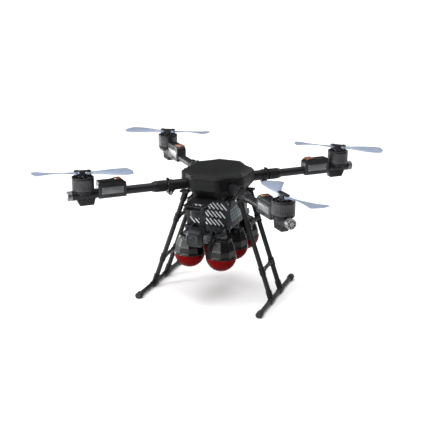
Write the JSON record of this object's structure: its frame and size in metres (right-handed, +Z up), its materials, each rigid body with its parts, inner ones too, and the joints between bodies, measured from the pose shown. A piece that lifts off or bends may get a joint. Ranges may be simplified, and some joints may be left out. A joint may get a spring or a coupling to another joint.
{
  "type": "firefighting quadcopter",
  "caption": "Folding heavy-lift quadcopter with skid landing gear, gimbal camera, perforated payload cage and hanging extinguisher canisters.",
  "frame": {"origin": "on the ground under the hub's centre, midway between the skids", "axes": "+Z up, -Y towards the nose and its camera, +X to the aircraft's left-hand side; the two sides are alike"},
  "size_m": [1.4043, 1.1902, 0.6844],
  "materials": {
    "cover_plastic": "matte moulded charcoal",
    "carbon_tube": "satin carbon fibre",
    "black_metal": "black anodised",
    "pod_shell": "satin dark grey",
    "collar_plastic": "matte black",
    "motor_bell": "satin grey anodised",
    "blade": "translucent slate blue",
    "clamp_metal": "black anodised with bright screws",
    "pin_steel": "bright",
    "rubber": "matte",
    "cage_paint": "satin black and navy",
    "housing_light": "satin light grey",
    "canister": "black fluted body, gloss red dome",
    "battery_case": "matte",
    "electronics": "matte",
    "gimbal_metal": "satin"
  },
  "bodies": {
    "airframe": {"top_cover": "cover_plastic", "lower_shell": "cover_plastic", "frame_plates": "carbon_tube", "flight_controller": "electronics", "arm_sockets": "black_metal", "hinge_pins": "pin_steel", "leg_tubes": "carbon_tube", "leg_joints": "black_metal", "leg_mounts": "black_metal", "cross_tubes": "carbon_tube", "skid_tubes": "carbon_tube", "skid_feet": "rubber", "cage": "cage_paint", "payload_rails": "black_metal", "release_controller": "housing_light", "payload_rack": "black_metal", "gimbal_base": "gimbal_metal", "gimbal_dampers": "rubber"},
    "battery": {"battery": "battery_case"},
    "arm_fr": {"arm_fr": "carbon_tube", "esc_pod_fr": "pod_shell", "motor_mount_fr": "black_metal"},
    "lock_collar_fr": {"lock_collar_fr": "collar_plastic"},
    "rotor_fr": {"motor_bell_fr": "motor_bell", "prop_clamp_fr": "clamp_metal"},
    "blade_a_fr": {"blade_a_fr": "blade"},
    "blade_b_fr": {"blade_b_fr": "blade"},
    "arm_br": {"arm_br": "carbon_tube", "esc_pod_br": "pod_shell", "motor_mount_br": "black_metal"},
    "lock_collar_br": {"lock_collar_br": "collar_plastic"},
    "rotor_br": {"motor_bell_br": "motor_bell", "prop_clamp_br": "clamp_metal"},
    "blade_a_br": {"blade_a_br": "blade"},
    "blade_b_br": {"blade_b_br": "blade"},
    "arm_bl": {"arm_bl": "carbon_tube", "esc_pod_bl": "pod_shell", "motor_mount_bl": "black_metal"},
    "lock_collar_bl": {"lock_collar_bl": "collar_plastic"},
    "rotor_bl": {"motor_bell_bl": "motor_bell", "prop_clamp_bl": "clamp_metal"},
    "blade_a_bl": {"blade_a_bl": "blade"},
    "blade_b_bl": {"blade_b_bl": "blade"},
    "arm_fl": {"arm_fl": "carbon_tube", "esc_pod_fl": "pod_shell", "motor_mount_fl": "black_metal"},
    "lock_collar_fl": {"lock_collar_fl": "collar_plastic"},
    "rotor_fl": {"motor_bell_fl": "motor_bell", "prop_clamp_fl": "clamp_metal"},
    "blade_a_fl": {"blade_a_fl": "blade"},
    "blade_b_fl": {"blade_b_fl": "blade"},
    "canister_1": {"canister_1": "canister"},
    "canister_2": {"canister_2": "canister"},
    "canister_3": {"canister_3": "canister"},
    "canister_4": {"canister_4": "canister"},
    "canister_5": {"canister_5": "canister"},
    "canister_6": {"canister_6": "canister"},
    "gimbal_pan": {"gimbal_pan_arm": "gimbal_metal"},
    "gimbal_roll": {"gimbal_roll_arm": "gimbal_metal"},
    "camera": {"gimbal_camera": "gimbal_metal"}
  },
  "joints": [
    {"name": "battery_slide", "type": "slide", "parent": "airframe", "child": "battery", "axis": [0, 1, 0], "range_m": [0, 0.245]},
    {"name": "arm_fold_fr", "type": "hinge", "parent": "airframe", "child": "arm_fr", "pos_m": [0.17678, -0.17678, 0.5345], "axis": [0.7071, 0.7071, 0], "range_deg": [0, 80]},
    {"name": "collar_slide_fr", "type": "slide", "parent": "arm_fr", "child": "lock_collar_fr", "axis": [0.7071, -0.7071, 0], "range_m": [0, 0.022]},
    {"name": "rotor_spin_fr", "type": "hinge", "parent": "arm_fr", "child": "rotor_fr", "pos_m": [0.47376, -0.47376, 0.67], "axis": [0, 0, 1], "continuous": true},
    {"name": "blade_fold_a_fr", "type": "hinge", "parent": "rotor_fr", "child": "blade_a_fr", "pos_m": [0.4939, -0.49321, 0.67], "axis": [0, 0, 1], "range_deg": [-93, 57]},
    {"name": "blade_fold_b_fr", "type": "hinge", "parent": "rotor_fr", "child": "blade_b_fr", "pos_m": [0.45362, -0.45431, 0.67], "axis": [0, 0, 1], "range_deg": [-57, 93]},
    {"name": "arm_fold_br", "type": "hinge", "parent": "airframe", "child": "arm_br", "pos_m": [0.17678, 0.17678, 0.5345], "axis": [-0.7071, 0.7071, 0], "range_deg": [0, 80]},
    {"name": "collar_slide_br", "type": "slide", "parent": "arm_br", "child": "lock_collar_br", "axis": [0.7071, 0.7071, 0], "range_m": [0, 0.022]},
    {"name": "rotor_spin_br", "type": "hinge", "parent": "arm_br", "child": "rotor_br", "pos_m": [0.47376, 0.47376, 0.67], "axis": [0, 0, 1], "continuous": true},
    {"name": "blade_fold_a_br", "type": "hinge", "parent": "rotor_br", "child": "blade_a_br", "pos_m": [0.50174, 0.47474, 0.67], "axis": [0, 0, 1], "range_deg": [-75, 75]},
    {"name": "blade_fold_b_br", "type": "hinge", "parent": "rotor_br", "child": "blade_b_br", "pos_m": [0.44578, 0.47278, 0.67], "axis": [0, 0, 1], "range_deg": [-75, 75]},
    {"name": "arm_fold_bl", "type": "hinge", "parent": "airframe", "child": "arm_bl", "pos_m": [-0.17678, 0.17678, 0.5345], "axis": [-0.7071, -0.7071, 0], "range_deg": [0, 80]},
    {"name": "collar_slide_bl", "type": "slide", "parent": "arm_bl", "child": "lock_collar_bl", "axis": [-0.7071, 0.7071, 0], "range_m": [0, 0.022]},
    {"name": "rotor_spin_bl", "type": "hinge", "parent": "arm_bl", "child": "rotor_bl", "pos_m": [-0.47376, 0.47376, 0.67], "axis": [0, 0, 1], "continuous": true},
    {"name": "blade_fold_a_bl", "type": "hinge", "parent": "rotor_bl", "child": "blade_a_bl", "pos_m": [-0.44628, 0.4791, 0.67], "axis": [0, 0, 1], "range_deg": [-75, 75]},
    {"name": "blade_fold_b_bl", "type": "hinge", "parent": "rotor_bl", "child": "blade_b_bl", "pos_m": [-0.50125, 0.46842, 0.67], "axis": [0, 0, 1], "range_deg": [-75, 75]},
    {"name": "arm_fold_fl", "type": "hinge", "parent": "airframe", "child": "arm_fl", "pos_m": [-0.17678, -0.17678, 0.5345], "axis": [0.7071, -0.7071, 0], "range_deg": [0, 80]},
    {"name": "collar_slide_fl", "type": "slide", "parent": "arm_fl", "child": "lock_collar_fl", "axis": [-0.7071, -0.7071, 0], "range_m": [0, 0.022]},
    {"name": "rotor_spin_fl", "type": "hinge", "parent": "arm_fl", "child": "rotor_fl", "pos_m": [-0.47376, -0.47376, 0.67], "axis": [0, 0, 1], "continuous": true},
    {"name": "blade_fold_a_fl", "type": "hinge", "parent": "rotor_fl", "child": "blade_a_fl", "pos_m": [-0.44951, -0.45976, 0.67], "axis": [0, 0, 1], "range_deg": [-75, 75]},
    {"name": "blade_fold_b_fl", "type": "hinge", "parent": "rotor_fl", "child": "blade_b_fl", "pos_m": [-0.49801, -0.48776, 0.67], "axis": [0, 0, 1], "range_deg": [-75, 75]},
    {"name": "canister_release_1", "type": "slide", "parent": "airframe", "child": "canister_1", "axis": [0, 0, -1], "range_m": [0, 0.055]},
    {"name": "canister_release_2", "type": "slide", "parent": "airframe", "child": "canister_2", "axis": [0, 0, -1], "range_m": [0, 0.055]},
    {"name": "canister_release_3", "type": "slide", "parent": "airframe", "child": "canister_3", "axis": [0, 0, -1], "range_m": [0, 0.055]},
    {"name": "canister_release_4", "type": "slide", "parent": "airframe", "child": "canister_4", "axis": [0, 0, -1], "range_m": [0, 0.055]},
    {"name": "canister_release_5", "type": "slide", "parent": "airframe", "child": "canister_5", "axis": [0, 0, -1], "range_m": [0, 0.055]},
    {"name": "canister_release_6", "type": "slide", "parent": "airframe", "child": "canister_6", "axis": [0, 0, -1], "range_m": [0, 0.055]},
    {"name": "gimbal_pan", "type": "hinge", "parent": "airframe", "child": "gimbal_pan", "pos_m": [0, -0.275, 0.48], "axis": [0, 0, 1], "range_deg": [-90, 90]},
    {"name": "gimbal_roll", "type": "hinge", "parent": "gimbal_pan", "child": "gimbal_roll", "pos_m": [0, -0.211, 0.3615], "axis": [0, 1, 0], "range_deg": [-35, 35]},
    {"name": "gimbal_tilt", "type": "hinge", "parent": "gimbal_roll", "child": "camera", "pos_m": [0, -0.275, 0.3615], "axis": [1, 0, 0], "range_deg": [-30, 90]}
  ]
}
